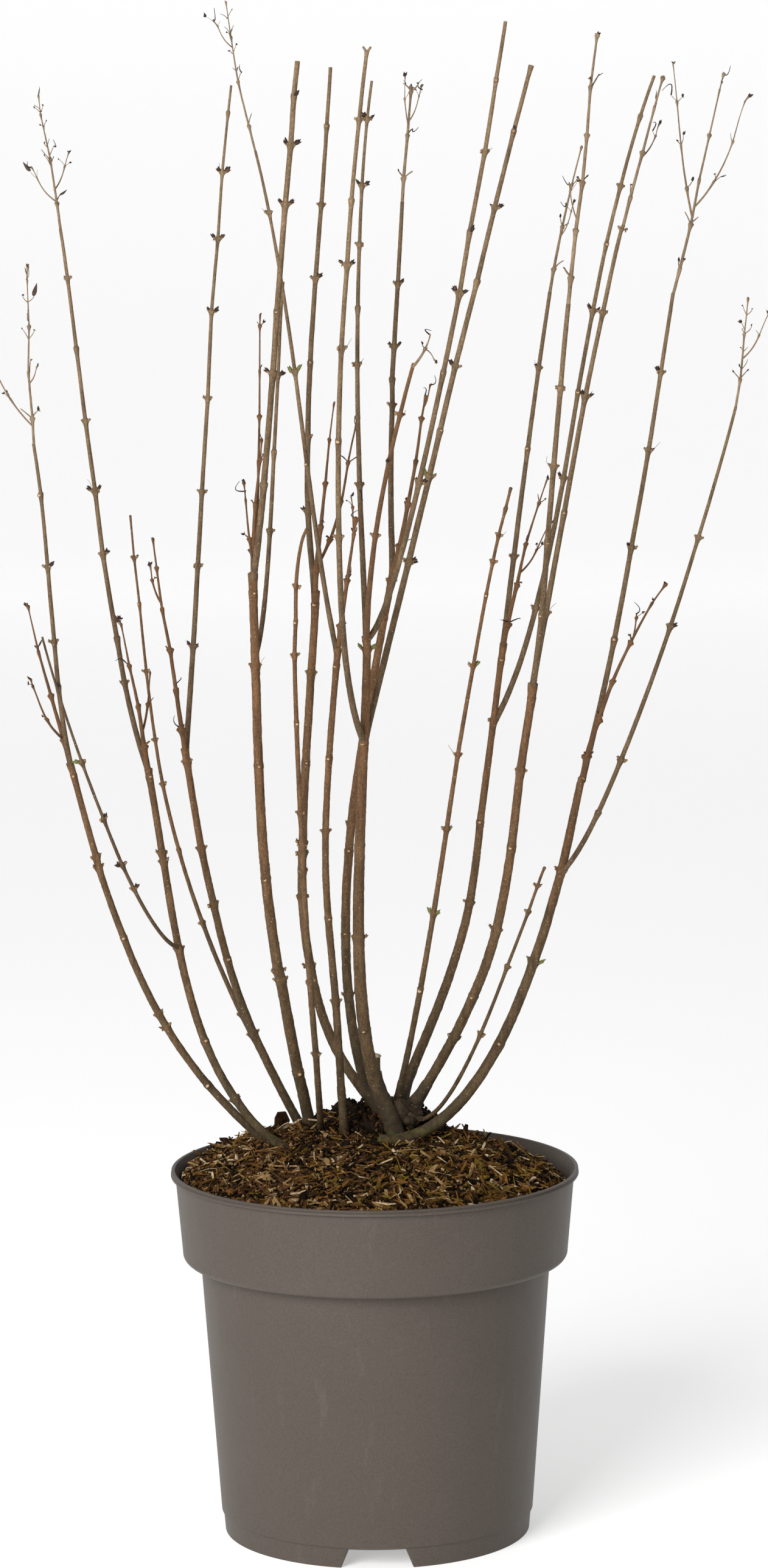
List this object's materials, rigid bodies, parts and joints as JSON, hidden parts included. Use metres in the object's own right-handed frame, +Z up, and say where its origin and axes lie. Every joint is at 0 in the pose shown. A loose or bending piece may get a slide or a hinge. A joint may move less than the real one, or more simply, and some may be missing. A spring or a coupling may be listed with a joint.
{
  "type": "potted lilac bush",
  "caption": "Bare lilac bush: many upright woody stems that rise from one crown and fork into tall shoots and short twigs, in a round plastic nursery pot filled with bark mulch.",
  "frame": {"origin": "on the ground under the middle of the pot, which is also the middle of the bush's bounding box", "axes": "+Z up; -Y is the front that the picture shows; +X is to the right of the picture"},
  "size_m": [0.5837, 0.4861, 1.1571],
  "materials": {
    "pot_plastic": "satin taupe moulded plastic",
    "bark_mulch": "loose shredded bark over dark compost",
    "old_wood": "rough old wood",
    "stem_bark": "brown bark with pale pores",
    "bough_bark": "grey tan young bark",
    "twig_bark": "red brown twig bark"
  },
  "bodies": {
    "root": {"pot": "pot_plastic", "mulch": "bark_mulch", "stool": "old_wood", "stem_far_left": "stem_bark", "stem_outer_left": "stem_bark", "stem_back_left": "stem_bark", "stem_left": "stem_bark", "stem_left_thick": "stem_bark", "stem_front_left": "stem_bark", "stem_mid_left": "stem_bark", "stem_front_mid": "stem_bark", "stem_back_mid": "stem_bark", "stem_centre": "stem_bark", "cut_stub": "stem_bark", "stem_front_right": "stem_bark", "stem_back_right": "stem_bark", "stem_right": "stem_bark", "stem_far_right": "stem_bark", "stem_low_right": "stem_bark", "bough_far_left": "bough_bark", "bough_outer_left": "bough_bark", "bough_outer_left_low": "bough_bark", "bough_left": "bough_bark", "bough_left_thick_front": "bough_bark", "bough_left_thick_back": "bough_bark", "bough_mid_left": "bough_bark", "bough_crossing": "bough_bark", "bough_centre_left": "bough_bark", "bough_centre_front": "bough_bark", "bough_centre_back": "bough_bark", "bough_centre_right": "bough_bark", "bough_tall_right": "bough_bark", "bough_back_mid": "bough_bark", "bough_back_right": "bough_bark", "bough_back_right_tall": "bough_bark", "bough_right": "bough_bark", "bough_right_outer": "bough_bark", "bough_far_right": "bough_bark", "bough_far_right_low": "bough_bark", "twigs_far_left_low": "twig_bark", "twigs_far_left_top": "twig_bark", "twigs_outer_left_low": "twig_bark", "twigs_outer_left_top": "twig_bark", "twigs_left": "twig_bark", "twigs_left_thick": "twig_bark", "twigs_mid_left": "twig_bark", "twigs_front_mid": "twig_bark", "twigs_crossing_top": "twig_bark", "twigs_centre_front_top": "twig_bark", "twigs_back_mid_low": "twig_bark", "twigs_back_mid_top": "twig_bark", "twigs_back_right_low": "twig_bark", "twigs_back_right_top": "twig_bark", "twigs_right_top": "twig_bark", "twigs_right_outer_top": "twig_bark", "twigs_far_right_low": "twig_bark", "twigs_far_right_low_top": "twig_bark", "twigs_far_right_top": "twig_bark"}
  },
  "joints": []
}
